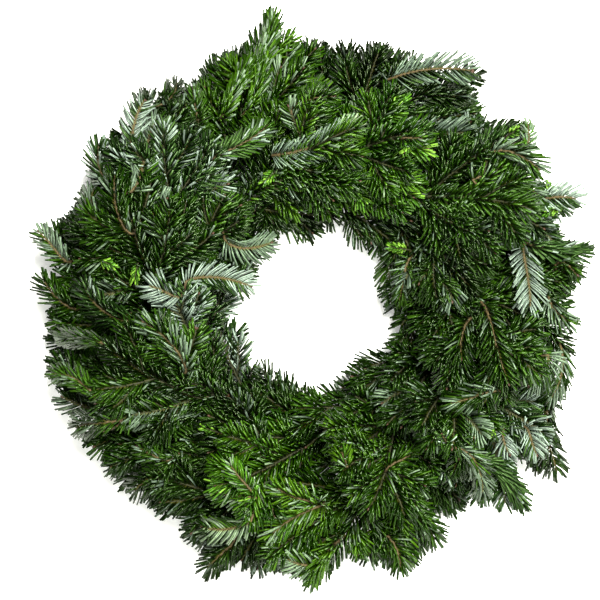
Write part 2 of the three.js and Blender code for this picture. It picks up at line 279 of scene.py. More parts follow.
# Single twigs that lie on top with their bark showing: from and to in those pixels, the needles' size, and
# their look
TOP_TWIGS = [
    (374, 88, 468, 74, 1.0, "pale"), (455, 173, 538, 197, 0.95, "silvery"),
    (488, 300, 501, 380, 0.9, "plain"), (262, 488, 214, 488, 0.8, "new"),
    (256, 484, 232, 458, 0.75, "new"), (262, 158, 352, 130, 0.95, "frosted"),
    (152, 196, 158, 124, 1.0, "pale"), (137, 148, 146, 104, 0.9, "pale"),
    (546, 396, 559, 472, 1.0, "plain"), (224, 250, 270, 243, 0.9, "pale"),
    (180, 277, 250, 286, 0.9, "pale"), (69, 270, 43, 233, 0.8, "pale"), (78, 315, 46, 280, 0.9, "plain"),
    (134, 416, 99, 431, 0.8, "bare"), (514, 242, 524, 306, 1.0, "pale"), (546, 345, 526, 384, 1.0, "pale"),
    (532, 204, 572, 200, 0.9, "pale"), (548, 256, 572, 274, 0.85, "plain"),
    (400, 258, 399, 300, 0.75, "young"), (392, 146, 418, 144, 0.7, "plain"),
    (280, 120, 332, 103, 0.9, "plain"), (221, 156, 268, 128, 0.85, "young"),
    (222, 130, 252, 66, 0.95, "plume"), (238, 126, 264, 58, 0.95, "plume"),
    (240, 92, 271, 24, 1.1, "plume"), (204, 128, 194, 92, 0.7, "young"),
    (352, 470, 340, 440, 0.8, "young"), (446, 452, 437, 430, 0.7, "young"),
    (114, 338, 62, 334, 1.0, "brushed"), (470, 430, 452, 470, 0.9, "plain"),
    (520, 160, 525, 124, 0.5, "new"), (522, 243, 580, 252, 1.0, "brushed"),
    (468, 312, 457, 356, 0.95, "plain"), (386, 458, 412, 449, 0.7, "plain"),
    (500, 424, 507, 452, 0.8, "pale"), (527, 420, 534, 452, 0.8, "pale"),
    (482, 452, 518, 500, 1.0, "brushed"), (170, 466, 140, 446, 0.8, "young"),
    (100, 385, 56, 372, 0.75, "young"), (122, 325, 88, 285, 0.9, "plain"),
    (178, 302, 152, 286, 1.0, "pale"), (196, 376, 150, 322, 1.1, "silvery"),
    (332, 502, 272, 529, 1.05, "young"), (328, 499, 276, 482, 0.9, "young"),
    (320, 560, 288, 552, 0.9, "pale"), (345, 532, 312, 572, 1.0, "brushed"),
    (262, 512, 205, 524, 0.9, "pale"), (98, 246, 96, 190, 1.0, "silvery"),
    (130, 240, 121, 180, 1.0, "plain"), (478, 386, 446, 400, 1.0, "silvery"),
    (462, 440, 480, 490, 1.0, "silvery"), (560, 352, 548, 400, 1.0, "silvery"),
    (486, 150, 530, 172, 1.0, "silvery"), (540, 290, 566, 322, 0.95, "silvery"),
    (385, 528, 400, 566, 0.95, "plain"), (242, 540, 208, 566, 1.0, "plain"),
    (166, 470, 136, 489, 1.0, "plain"), (112, 420, 80, 425, 1.0, "plain"),
    (106, 188, 103, 148, 0.9, "silvery"), (164, 112, 176, 82, 0.85, "plain"),
]
# What each look changes in a twig's needles
TWIG_LOOKS = dict(
    plain=dict(column=5, spread=2.4),
    young=dict(column=11, spread=0.9, twisted=(0.2, 0.2)),
    plume=dict(column=7.2, spread=1.5, lean=0.55, dense=1.5, flat=0.2, twisted=(0.2, 0.2)),
    new=dict(column=12.4, spread=0.8, flat=0.9, twisted=(0.3, 0.3)),
    pale=dict(column=7.4, spread=2.4, flat=1.0),
    frosted=dict(column=9.0, spread=1.6, flat=1.0, dense=1.15, new_tip=26.0, twisted=(0.05, 0.05)),
    bare=dict(bare=999.0),
    brushed=dict(column=8, spread=2, lean=0.65, dense=1.25, flat=0.2),
    silvery=dict(column=7, spread=2.2, lean=0.8, flat=0.6, twisted=(0.5, 0.5)),
)
TOP_SEED = 77
TOP_TWIG_RISE = 12.0
TOP_TWIG_TOP = TOP_HEIGHT + 9
TOP_TWIG_ROOT = 10.0
TOP_TWIG_ARCH = 4.0
TOP_TWIG_BOW_RANGE = (0.1, 0.2)
TOP_TWIG_ROLL_RANGE = (-15, 15)
PALE_TWISTED = [(0.04, 0.45), (0.45, 0.04), (0.08, 0.08)]
CANOPY_ROUND = 26.0
CANOPY_PERCENTILE = 92
CANOPY_LEAST = 20.0
HOST_SHOOTS = 9
HOST_HEIGHT_WEIGHT = 0.6

# Twig ends with three winter buds, in the same pixels. A share of the others has one.
BUDS = [
    (145, 100), (458, 80), (535, 325), (522, 388), (575, 340), (420, 502), (457, 461), (365, 550),
    (188, 325), (225, 390),
]
BUD_HEIGHT_WEIGHT = 0.15
BUD_ANGLES = (0, 38, -38)
BUD_CHANCE = 0.4
BUD_LIFT = 0.1
BUD_LENGTH_RANGE = (3.5, 5)
BUD_RADIUS_RANGE = (1.2, 1.6)
BUD_SIDES = 5
BUD_RING_AT = np.array([0.0, 0.22, 0.5, 0.8, 1.0])
BUD_RING_RADIUS = np.array([0.0, 0.9, 1.0, 0.6, 0.0])
# A direction that no bud points along, from which its sides are taken
NEARLY_UP = (0.3, 0.1, 1.0)

# The map that the finish of every spray is drawn on: needles in columns from dark to pale and then new
# growth, and beside them bark, buds and cut wood. The bark's strip has olive bark in its lower half and
# brown bark in its upper half.
NEEDLE_COLUMNS = 16
NEW_GROWTH_COLUMNS = 4
NEEDLE_SHARE = 0.75
BARK_SHARE = 0.15
BUD_SHARE = 0.06
CUT_SHARE = 0.04
NEEDLE_MARGIN = 0.04
NEEDLE_END_SPACING = 0.12
STRIP_MARGIN = 0.005
END_MARGIN = 0.01
BUD_MARGIN = 0.02
BROWN_FROM = 0.5
BARK_WRAP = 1.2
CUT_DISC = 0.45
MAP_LENGTH = 330.0
GROWTH_MAP = "growth"
BAKE_MAP = "OFBake"
NEEDLES, BARK, BUD, CUT_WOOD = range(4)

# The floor lies just under the wreath, and glows a little to keep its shadows pale
FLOOR_HALF = 3.0
FLOOR_DROP = 0.0005
FLOOR_GLOW = 0.3
PAPER_ROUGHNESS = 0.9

# Soft lights as (name, place, width, watts), all aimed at the wreath's middle
LIGHTS = [
    ("key", (0.4, 0.75, 2.35), 0.8, 192),
    ("fill", (1.5, 0.1, 1.7), 1.2, 66),
    ("low_fill", (0.0, -1.7, 1.4), 1.2, 37),
]
LIGHT_AIM = Vector((0, 0, 0.05))
LIGHT_COLOUR = (1.0, 1.0, 0.92)
STUDIO_COLOUR = (1, 1, 0.87, 1)
STUDIO_STRENGTH = 0.085


def unit(v):
    return v / np.maximum(np.linalg.norm(v, axis=-1, keepdims=True), LEAST_LENGTH)


def outward(clock):
    return np.array([math.sin(math.radians(clock)), math.cos(math.radians(clock)), 0.0])


def forward(clock):
    return np.array([math.cos(math.radians(clock)), -math.sin(math.radians(clock)), 0.0])


def turned(v, axis, degrees):
    """Vectors turned about unit axes, counter-clockwise as seen against each axis."""
    angle = np.radians(degrees)
    c, s = np.cos(angle), np.sin(angle)
    return v * c + np.cross(axis, v) * s + axis * (v * axis).sum(-1, keepdims=True) * (1 - c)


def even(points, step):
    """The same path with evenly spaced points."""
    points = np.asarray(points, float)
    run = np.concatenate([[0], np.cumsum(np.linalg.norm(np.diff(points, axis=0), axis=1))])
    count = max(3, int(round(run[-1] / step)) + 1)
    at = np.linspace(0, run[-1], count)
    return np.stack([np.interp(at, run, points[:, i]) for i in range(3)], 1), at


def swept(*corners, count=40):
    """A smooth curve from the first corner to the last, drawn towards those between."""
    t = np.linspace(0, 1, count)[:, None]
    points = [np.asarray(c, float)[None] * np.ones_like(t) for c in corners]
    while len(points) > 1:
        points = [a + (b - a) * t for a, b in zip(points, points[1:])]
    return points[0]


class Shoot:
    """A twig: its path, its frames and radii, and how its needles grow."""

    def __init__(self, path, start_radius, end_radius, bare, roll, **habit):
        self.points, self.at = even(path, TWIG_STEP)
        self.length = self.at[-1]
        self.along = unit(np.gradient(self.points, self.at, axis=0))
        self.side = unit(np.cross(self.along, [0.0, 0.0, 1.0]))
        self.up = np.cross(self.side, self.along)
        self.side, self.up = (turned(v, self.along, roll) for v in (self.side, self.up))
        self.radii = start_radius + (end_radius - start_radius) * (self.at / self.length)
        self.bare = bare
        # The needles' tone and its spread, size, lean, density, length of new growth and flatness, the kind
        # of bark, and the shares of twisted needles
        self.habit = dict(
            column=5.0, spread=1.3, size=1.0, lean=1.0, dense=1.0, new_tip=0.0, flat=0.5, brown=0,
            twisted=FEW_TWISTED,
        )
        self.habit.update(habit)

    def on(self, values, at):
        """A value of each of the path's points, read at other places along it."""
        values = values if values.ndim > 1 else values[:, None]
        return np.stack([np.interp(at, self.at, values[:, i]) for i in range(values.shape[1])], 1)

    def fork(self, distance):
        """Where a twig leaves this one, the direction there, and the axis that it turns about."""
        at = np.array([distance])
        along = unit(self.on(self.along, at))[0]
        return self.on(self.points, at)[0], along, unit(np.cross(np.cross(along, [0, 0, 1.0]), along))


def leader_path(row, clamp):
    """A leader runs from its cut end through its clamp and curls to its tip."""
    clock = FIRST_CLAMP + clamp * 360 / CLAMP_COUNT
    tip_clock, reach, _ = row["tips"][clamp]
    seat = outward(clock) * (FRAME_RADIUS + row["seat"] * STEM_PITCH) + [0, 0, STEM_HEIGHT]
    butt = seat - forward(clock) * BUTT_LENGTH
    leaving = seat + forward(clock) * EXIT_LENGTH
    tip = outward(tip_clock) * reach + [0, 0, row["tip_height"]]
    chord = (tip - leaving) * [1, 1, 0]
    span = np.linalg.norm(chord)
    away = turned(chord / span, np.array([0, 0, 1.0]), -row["curl"])
    away[2] = math.tan(math.radians(row["rise"]))
    bend = swept(leaving, leaving + forward(clock) * span * EXIT_PULL, tip - away * span * TIP_PULL, tip)
    return np.concatenate([[butt], bend])


def side_path(parent, place, side, share, angle, lift):
    """A side twig leaves wide, bends forward and lifts or droops a little."""
    span = parent.length - BUTT_LENGTH
    start, along, level = parent.fork(BUTT_LENGTH + place * span)
    length = share * span
    rise = math.sin(math.radians(lift)) * length

    def way(degrees):
        return turned(along, level, -side * degrees)

    elbow = start + way(angle + FORK_SPREAD) * length / 2 + [0, 0, rise * ELBOW_RISE]
    end = start + way(angle) * length + [0, 0, rise]
    return swept(start, elbow, end, count=16)


def outline(marks, clock):
    """How far an outline reaches at each clock angle."""
    return np.interp(clock % 360, [m[0] for m in marks], [m[1] for m in marks])


def trimmed(path):
    """The part of a path that keeps its needles within the wreath's outline."""
    path = np.clip(path, [-np.inf, -np.inf, LOW_HEIGHT], [np.inf, np.inf, TOP_HEIGHT])
    seen = CAMERA_HEIGHT / (CAMERA_HEIGHT + SIGHT_HEIGHT - path[:, 2])
    reach = np.hypot(path[:, 0], path[:, 1]) * seen
    clock = np.degrees(np.arctan2(path[:, 0], path[:, 1]))
    clear = (reach < outline(RIM, clock) - NEEDLE_REACH) & (reach > outline(HOLE, clock) + HOLE_REACH)
    kept = path if clear.all() else path[: max(np.argmin(clear), 1)]
    run = np.linalg.norm(np.diff(kept, axis=0), axis=1).sum() if len(kept) > 2 else 0
    return kept if run > SHORTEST else None


def shoots_of(kind, clamp, rng):
    """The leader of a spray, its side twigs and the twiglets on those."""
    row = ROWS[kind]
    tone = row["tips"][clamp][2]
    silver, bright = tone == "silver", tone == "bright"

    def habit(youth=0.0):
        over = rng.random() < (OVER_CHANCE_SILVER if silver else OVER_CHANCE)
        if over:
            twisted = OVER_TWISTED[rng.integers(len(OVER_TWISTED))]
        else:
            twisted = SILVER_TWISTED if silver else FEW_TWISTED
        return dict(
            roll=(180.0 if over else 0.0) + rng.normal(0, ROLL_CHANGE),
            column=GROWN_COLUMN + rng.normal(0, COLUMN_CHANGE) + youth,
            spread=OVER_SPREAD if over else GROWN_SPREAD,
            size=rng.uniform(*SIZE_RANGE),
            dense=OUTER_DENSITY if kind in OUTER_ROWS else 1.0,
            twisted=twisted,
            new_tip=rng.uniform(*NEW_TIP_RANGE) if bright and rng.random() < NEW_TIP_CHANCE else 0.0,
            flat=1.0 if over else rng.uniform(*FLAT_RANGE),
        )

    leader = Shoot(leader_path(row, clamp), LEADER_RADIUS, SHOOT_TIP_RADIUS, LEADER_BARE, **habit())
    shoots = [leader]
    forks = list(row["forks"])
    longer = 1.0 if kind in HIGH_ROWS else LOW_ROW_TWIGS
    for place, side, share, angle in SIDE_TWIGS:
        if all(abs(place - f[0]) > FORK_NEAR or side != f[1] for f in row["forks"]):
            change = rng.uniform(*SHARE_RANGE) * longer
            place += rng.uniform(*PLACE_RANGE)
            forks.append((place, side, share * change, angle + rng.normal(0, ANGLE_CHANGE)))
    for place, side, share, angle in forks:
        lift = rng.normal(0, LIFT_CHANGE)
        path = trimmed(side_path(leader, place, side, share, angle, lift))
        if path is None:
            continue
        twig = Shoot(path, SIDE_RADIUS, SHOOT_TIP_RADIUS, SIDE_BARE, **habit(SIDE_YOUTH))
        shoots.append(twig)
        if twig.length <= TWIGLET_FROM:
            continue
        for spot, turn in zip(TWIGLET_PLACES, (side, -side)):
            start, along, level = twig.fork(spot * twig.length)
            long = (1 - spot) * twig.length * rng.uniform(*TWIGLET_SHARE_RANGE)
            wide = turned(along, level, -turn * (TWIGLET_SPREAD + rng.normal(0, ANGLE_CHANGE)))
            way = turned(along, level, -turn * TWIGLET_ANGLE)
            end = start + way * long + [0, 0, rng.normal(0, TWIGLET_LIFT_CHANGE)]
            bent = trimmed(swept(start, start + wide * long / 2, end, count=12))
            if bent is not None:
                change = habit(TWIGLET_YOUTH)
                shoots.append(Shoot(bent, TWIGLET_RADIUS, SHOOT_TIP_RADIUS, TWIGLET_BARE, **change))
    return shoots, tone


def sphere_rings(segments, rings):
    """A closed skin of rings between two poles: each vertex's ring and turn, and its faces."""
    bm = bmesh.new()
    bmesh.ops.create_uvsphere(bm, u_segments=segments, v_segments=rings + 1, radius=1.0)
    bm.verts.ensure_lookup_table()
    height = np.array([v.co.z for v in bm.verts])
    ring = np.rint(np.arccos(np.clip(-height, -1, 1)) / math.pi * (rings + 1)).astype(int)
    turn = np.array([math.atan2(v.co.y, v.co.x) for v in bm.verts])
    # Sorted, since the operator gives its faces another order each run
    faces = sorted([v.index for v in f.verts] for f in bm.faces)
    bm.free()
    return ring, turn, faces


class Skin:
    """Vertices, faces and map coordinates of a spray, gathered until its mesh is written."""

    def __init__(self):
        self.points, self.corners, self.sizes, self.places, self.slots = [], [], [], [], []
        self.count = 0

    def add(self, points, faces, places, slots):
        """points is copies x vertices x 3; faces are lists of vertices; places is copies x corners x 2."""
        copies, width = points.shape[:2]
        flat = np.array([i for f in faces for i in f])
        offset = self.count + np.arange(copies)[:, None] * width
        self.points.append(points.reshape(-1, 3))
        self.corners.append((flat[None] + offset).ravel())
        self.sizes.append(np.tile([len(f) for f in faces], copies))
        self.places.append(places.reshape(-1, 2))
        self.slots.append(np.tile(np.broadcast_to(slots, len(faces)), copies))
        self.count += copies * width

    def mesh(self, name, middle, materials):
        """The spray's mesh, in metres and in its place, with its maps and materials."""
        points = (np.concatenate(self.points) + middle) / METRE
        corners, sizes = np.concatenate(self.corners), np.concatenate(self.sizes)
        places = np.concatenate(self.places)
        mesh = bpy.data.meshes.new(name)
        mesh.vertices.add(len(points))
        mesh.vertices.foreach_set("co", points.ravel())
        mesh.loops.add(len(corners))
        mesh.loops.foreach_set("vertex_index", corners)
        mesh.polygons.add(len(sizes))
        mesh.polygons.foreach_set("loop_start", np.concatenate([[0], np.cumsum(sizes)[:-1]]))
        mesh.polygons.foreach_set("material_index", np.concatenate(self.slots))
        mesh.update(calc_edges=True)
        for layer in (GROWTH_MAP, BAKE_MAP):
            mesh.uv_layers.new(name=layer).uv.foreach_set("vector", places.ravel().astype(np.float32))
        mesh.shade_smooth()
        for material in materials:
            mesh.materials.append(material)
        mesh.validate()
        return mesh


# A needle is a three-sided bar of length 1 along x. Its wide glossy face is up, and its sides narrow to a
# ridge below. It is narrower at the foot and at the blunt tip.
NEEDLE_STATIONS = {0.0: 0.55, 0.5: 1.0, 1.0: 0.84}
NEEDLE_CORNERS = [(0.5, 0.0), (-0.5, 0.0), (0.0, -1.0)]
# Where its sides lie across a column of the map, by the corners that bound each, the upper face first
CROSS = {(0, 1): (0.0, 0.5), (1, 2): (0.5, 0.75), (0, 2): (1.0, 0.75)}


def needle_form():
    """Each vertex's place along, across and up, the faces, and each face corner's place on the map."""
    bm = bmesh.new()
    bmesh.ops.create_cone(bm, cap_ends=True, segments=3, radius1=1.0, radius2=1.0, depth=1.0)
    everything = bm.verts[:] + bm.edges[:] + bm.faces[:]
    bmesh.ops.bisect_plane(bm, geom=everything, plane_co=(0, 0, 0), plane_no=(0, 0, 1))
    bm.verts.index_update()
    turn = [math.degrees(math.atan2(v.co.y, v.co.x)) % 360 for v in bm.verts]
    corner = [round((angle - min(turn)) / (360 / len(NEEDLE_CORNERS))) for angle in turn]
    along = [round(v.co.z * 2) / 2 + 0.5 for v in bm.verts]
    shape = [(t, *(NEEDLE_STATIONS[t] * size for size in NEEDLE_CORNERS[c])) for t, c in zip(along, corner)]
    faces = [[v.index for v in f.verts] for f in bm.faces]
    places = []
    for face in faces:
        sides = tuple(sorted({corner[i] for i in face}))
        for i in face:
            if len(sides) == 2:
                cross = CROSS[sides][sides.index(corner[i])]
            else:
                cross = NEEDLE_END_SPACING * (1 + corner[i])
            across = NEEDLE_MARGIN + (1 - 2 * NEEDLE_MARGIN) * cross
            places.append((across, END_MARGIN + (1 - 2 * END_MARGIN) * along[i]))
    bm.free()
    return np.array(shape), faces, np.array(places)


needle_shape, needle_faces, needle_places = needle_form()


def grow_needles(skin, shoot, rng):
    """Needles spiral round a twig. Those above lean forward over it, and those below part to the sides."""
    habit, flat = shoot.habit, shoot.habit["flat"]
    room = shoot.length - shoot.bare
    count = int(room / CENTIMETRE * NEEDLES_PER_CM * habit["dense"] * (1 - FLAT_THINNING * flat))
    if count < FEWEST_NEEDLES:
        return
    each = (count, 1)
    at = shoot.bare + (np.arange(count) + rng.uniform(*STEP_RANGE, count)) * room / count
    turn = np.arange(count) * GOLDEN_ANGLE + rng.normal(0, TURN_CHANGE, count)
    centre, along = shoot.on(shoot.points, at), unit(shoot.on(shoot.along, at))
    side, up = unit(shoot.on(shoot.side, at)), unit(shoot.on(shoot.up, at))
    radius = shoot.on(shoot.radii, at)
    across, above = np.cos(turn)[:, None], np.sin(turn)[:, None]
    foot = centre + (side * across + up * above) * radius * FOOT_DEPTH
    raised = above * np.where(above > 0, RISE_ABOVE - RISE_ABOVE_FLAT * flat, RISE_BELOW)
    lateral = np.sign(across) * np.maximum(np.abs(across), PARTING + PARTING_FLAT * flat)
    spread = unit(side * lateral + up * raised)
    to_tip = np.clip((at - (shoot.length - TIP_ZONE)) / TIP_ZONE, 0, 1)[:, None]
    high = np.clip(above, 0, 1)
    lean = SIDE_LEAN + (TOP_LEAN - SIDE_LEAN) * high * (1 - FLAT_LEAN * flat)
    lean = (lean + (TIP_LEAN - lean) * to_tip) * habit["lean"] + rng.normal(0, LEAN_CHANGE, each)
    from_start = np.clip((at - shoot.bare) / START_ZONE, 0, 1)[:, None]
    length = NEEDLE_LENGTH * habit["size"] * rng.uniform(*LENGTH_RANGE, each)
    length = length * (1 - TOP_SHORTENING * high) * (1 - TIP_SHORTENING * to_tip)
    length = length * (START_SIZE + START_GROWTH * from_start)
    way = unit(along * np.cos(np.radians(lean)) + spread * np.sin(np.radians(lean)))
    # Needles near the floor turn up and rest above it
    lowest = FLOOR_GAP + rng.uniform(*FLOOR_GAP_RANGE, each)
    drop = (lowest - foot[:, 2:]) / length
    way[:, 2:] = np.maximum(way[:, 2:], np.minimum(drop, STEEPEST))
    way = unit(way)
    face = unit(up - way * (up * way).sum(1, keepdims=True))
    twisted = rng.random(each) < np.where(across > 0, *habit["twisted"])
    face = turned(face, way, rng.normal(0, FACE_CHANGE, each) + 180 * twisted)
    flank = np.cross(face, way)
    ahead = np.sign((flank * along).sum(1, keepdims=True))
    sweep = ahead * rng.uniform(SWEEP_LEAST, SWEEP_MOST + SWEEP_FLAT * flat, each) * length
    arch = rng.normal(ARCH, ARCH_CHANGE, each) * length
    width = NEEDLE_WIDTH * rng.uniform(*WIDTH_RANGE, each)
    t, y, z = (needle_shape[None, :, i, None] for i in range(3))
    points = (
        foot[:, None]
        + way[:, None] * length[:, None] * t
        + flank[:, None] * (width[:, None] * y + sweep[:, None] * t**2)
        + face[:, None] * (NEEDLE_THICKNESS * z + arch[:, None] * t**2)
    )
    points[:, :, 2] = np.maximum(points[:, :, 2], FLOOR_TOUCH)
    tones = NEEDLE_COLUMNS - NEW_GROWTH_COLUMNS
    palest = tones - 1 if habit["column"] < tones - 1 else habit["column"] + 1
    column = np.clip(np.rint(rng.normal(habit["column"], habit["spread"], count)), 0, palest)
    if habit["new_tip"]:
        new = at > shoot.length - habit["new_tip"] + rng.uniform(*NEW_TIP_EDGE_RANGE, count)
        first = int(flat > ALL_FLAT)
        column = np.where(new, tones + rng.integers(first, first + NEW_GROWTH_COLUMNS - 1, count), column)
    places = np.repeat(needle_places[None], count, 0)
    places[:, :, 0] = (places[:, :, 0] + column[:, None]) / NEEDLE_COLUMNS * NEEDLE_SHARE
    skin.add(points, needle_faces, places, NEEDLES)


def grow_bark(skin, shoot, cut):
    """The twig itself, with a flat end of cut wood at the butt where it was cut."""
    rings = len(shoot.points)
    ring, turn, faces = sphere_rings(TWIG_SIDES, rings)
    pole = (ring == 0) | (ring == rings + 1)
    step = np.clip(ring - 1, 0, rings - 1)
    radius = np.where(pole, 0, shoot.radii[step])[:, None]
    sideways = shoot.up[step] * np.cos(turn)[:, None] + shoot.side[step] * np.sin(turn)[:, None]
    points = shoot.points[step] + radius * sideways
    share = (turn / (2 * math.pi)) % 1
    places, slots = [], []
    for face in faces:
        if cut and any(ring[i] == 0 for i in face):
            slots.append(CUT_WOOD)
            for i in face:
                spread = 0 if pole[i] else CUT_SHARE * CUT_DISC
                across = 1 - CUT_SHARE / 2 + spread * math.cos(turn[i])
                places.append((across, 0.5 + spread * math.sin(turn[i])))
            continue
        slots.append(BARK)
        spots = [share[i] for i in face if not pole[i]]
        wraps = max(spots) - min(spots) > 0.5
        for i in face:
            around = np.mean(spots) if pole[i] else share[i] + (wraps and share[i] < 0.5)
            across = NEEDLE_SHARE + STRIP_MARGIN + around * (BARK_SHARE - 2 * STRIP_MARGIN) / BARK_WRAP
            start = END_MARGIN + BROWN_FROM * shoot.habit["brown"]
            places.append((across, start + (BROWN_FROM - 2 * END_MARGIN) * shoot.at[step[i]] / MAP_LENGTH))
    skin.add(points[None], faces, np.array(places)[None], np.array(slots))


bud_ring, bud_turn, bud_faces = sphere_rings(BUD_SIDES, len(BUD_RING_AT) - 2)


def grow_bud(skin, centre, way, length, radius):
    """A winter bud at a twig's end."""
    side = unit(np.cross(way, NEARLY_UP))
    up = np.cross(side, way)
    reach = BUD_RING_AT[bud_ring][:, None] * length
    width = BUD_RING_RADIUS[bud_ring][:, None] * radius
    sideways = up * np.cos(bud_turn)[:, None] + side * np.sin(bud_turn)[:, None]
    points = centre + way * reach + sideways * width
    places = []
    for face in bud_faces:
        for i in face:
            around = (bud_turn[i] / (2 * math.pi)) % 1
            across = NEEDLE_SHARE + BARK_SHARE + STRIP_MARGIN + around * (BUD_SHARE - 2 * STRIP_MARGIN)
            places.append((across, BUD_MARGIN + (1 - 2 * BUD_MARGIN) * BUD_RING_AT[bud_ring[i]]))
    skin.add(points[None], bud_faces, np.array(places)[None], BUD)


def placed(name, data):
    """A new object in the scene."""
    made = bpy.data.objects.new(name, data)
    bpy.context.collection.objects.link(made)
    return made


def linear(code):
    """An sRGB hex colour as linear numbers."""
    values = [int(code[i : i + 2], 16) / 255 for i in (1, 3, 5)]
    return tuple(v / 12.92 if v <= 0.04045 else ((v + 0.055) / 1.055) ** 2.4 for v in values) + (1.0,)


def add(tree, kind, settings=None, **links):
    """A node with its settings, inputs and links. An input is named with _ for a space, or in_N by number."""
    made = tree.nodes.new(kind)
    settings = dict(settings or {})
    stops = settings.pop("stops", [])
    for name, value in settings.items():
        setattr(made, name, value)
    for i, (place, shade) in enumerate(stops):
        element = made.color_ramp.elements[i] if i < 2 else made.color_ramp.elements.new(1.0)
        element.position = place
        element.color = linear(shade) if isinstance(shade, str) else (shade, shade, shade, 1)
    for name, value in links.items():
        socket = made.inputs[int(name[3:])] if name.startswith("in_") else made.inputs[name.replace("_", " ")]
        source = value.outputs[0] if isinstance(value, bpy.types.Node) else value
        if isinstance(source, bpy.types.NodeSocket):
            tree.links.new(source, socket)
        else:
            socket.default_value = source
    return made


def new_material(name):
    """A material with only its shader, and its node tree."""
    material = bpy.data.materials.new(name)
    material.use_nodes = True
    tree = material.node_tree
    tree.nodes.clear()
    output = tree.nodes.new("ShaderNodeOutputMaterial")
    shader = tree.nodes.new("ShaderNodeBsdfPrincipled")
    tree.links.new(shader.outputs["BSDF"], output.inputs["Surface"])
    return material, tree, shader


# Kinds of node, and settings that several of them share
RAMP, MATH, MIX, NOISE = "ShaderNodeValToRGB", "ShaderNodeMath", "ShaderNodeMix", "ShaderNodeTexNoise"
MAPPING, BUMP, UV_MAP = "ShaderNodeMapping", "ShaderNodeBump", "ShaderNodeUVMap"
SCALED = dict(operation="MULTIPLY_ADD")
MIXED = dict(data_type="RGBA")
SHADED = dict(data_type="RGBA", blend_type="MULTIPLY")
FLAT = dict(noise_dimensions="2D")

# Waxed plant skin: a faint green-tinted reflection under a thin clear coat
NEEDLE_WAX = {
    "IOR": 1.47, "Specular IOR Level": 0.34, "Specular Tint": (0.72, 1.0, 0.5, 1.0),
    "Coat Weight": 0.22, "Coat Roughness": 0.12, "Coat IOR": 1.45,
}
# The tint that paints shade into each needle's groove, the foot's own yellowish colour, and how much the
# mottling and the pale bands roughen the wax
GROOVE_SHADE = "#b8c8a0"
FOOT_COLOUR = "#6f6c2c"
MOTTLE_ROUGHNESS = 0.2
BAND_ROUGHNESS = 0.2


def needle_material(name, tones, bands, gloss):
    """Fir needles: a waxy glossy upper face, two pale bands below, and a tone for each column of the map."""
    material, tree, shader = new_material(name)
    place = add(tree, UV_MAP, dict(uv_map=GROWTH_MAP))
    parts = add(tree, "ShaderNodeSeparateXYZ", in_0=place)
    along = parts.outputs[1]
    scaled = add(tree, MATH, dict(operation="MULTIPLY"), in_0=parts, in_1=NEEDLE_COLUMNS / NEEDLE_SHARE)
    whole = add(tree, MATH, dict(operation="FLOOR"), in_0=scaled)
    column = add(tree, MATH, dict(operation="DIVIDE"), in_0=whole, in_1=NEEDLE_COLUMNS - 1)
    cross = add(tree, MATH, dict(operation="FRACT"), in_0=scaled)
    # The tones run from needles deep in the shade of last year's growth to this year's
    every_tone = tones + GROWTH
    grown = NEEDLE_COLUMNS - NEW_GROWTH_COLUMNS
    marks = list(np.linspace(0, grown - 1, len(tones))) + list(range(grown, NEEDLE_COLUMNS))
    stops = [(mark / (NEEDLE_COLUMNS - 1), tone) for mark, tone in zip(marks, every_tone)]
    body = add(tree, RAMP, dict(stops=stops), in_0=column)
    # Mottling of the wax. Real streaks are a few tenths of a millimetre wide, too fine to show, so these are
    # 1 mm wide and 4 mm long.
    streaks = add(tree, MAPPING, Vector=place, Scale=(90, 7, 1))
    mottle = add(tree, NOISE, FLAT, Vector=streaks, Scale=1.0, Detail=3.0, Roughness=0.6)
    light = add(tree, RAMP, dict(stops=[(0.3, 0.72), (0.7, 1.0)]), in_0=mottle)
    body = add(tree, MIX, SHADED, in_0=1.0, in_6=body, in_7=light).outputs[2]
    # The groove down the upper face is painted with shade: the colour there is multiplied by a pale green
    # tint, which darkens it
    groove = add(tree, RAMP, dict(stops=[(0.2, 0.0), (0.25, 1.0), (0.3, 0.0)]), in_0=cross)
    body = add(tree, MIX, SHADED, in_0=groove, in_6=body, in_7=linear(GROOVE_SHADE)).outputs[2]
    # Two bands of white pores on the underside, either side of the green midrib, weaker on dull needles
    edges = [0.53, 0.58, 0.68, 0.72, 0.78, 0.82, 0.92, 0.97]
    band = add(tree, RAMP, dict(stops=list(zip(edges, [0, 1, 1, 0, 0, 1, 1, 0]))), in_0=cross)
    fresh = add(tree, RAMP, dict(stops=[(0.0, 0.25), (0.3, 0.7), (0.62, 1.0)]), in_0=column)
    white = add(tree, MATH, dict(operation="MULTIPLY"), in_0=band, in_1=fresh)
    pale = add(tree, RAMP, dict(stops=[(0.25, bands[0]), (0.75, bands[1])]), in_0=mottle)
    colour = add(tree, MIX, MIXED, in_0=white, in_6=body, in_7=pale).outputs[2]
    # The foot is yellowish where it joins the twig
    foot = add(tree, RAMP, dict(stops=[(0.0, 0.8), (0.14, 0.0)]), in_0=along)
    colour = add(tree, MIX, MIXED, in_0=foot, in_6=colour, in_7=linear(FOOT_COLOUR)).outputs[2]
    tree.links.new(colour, shader.inputs["Base Color"])
    rough = add(tree, MATH, SCALED, in_0=mottle, in_1=MOTTLE_ROUGHNESS, in_2=gloss)
    rough = add(tree, MATH, SCALED, in_0=band, in_1=BAND_ROUGHNESS, in_2=rough)
    tree.links.new(rough.outputs[0], shader.inputs["Roughness"])
    for socket, value in NEEDLE_WAX.items():
        shader.inputs[socket].default_value = value
    # Across the needle: the upper face with its groove, then the two faces below with a midrib between
    heights = [0.6, 1.0, 0.0, 1.0, 0.6, 0.2, 1.0, 0.2, 0.6]
    ridge = add(tree, RAMP, dict(stops=[(i / 8, h) for i, h in enumerate(heights)]), in_0=cross)
    bump = add(tree, BUMP, Strength=0.5, Distance=0.0003, Height=ridge)
    tree.links.new(bump.outputs[0], shader.inputs["Normal"])
    return material


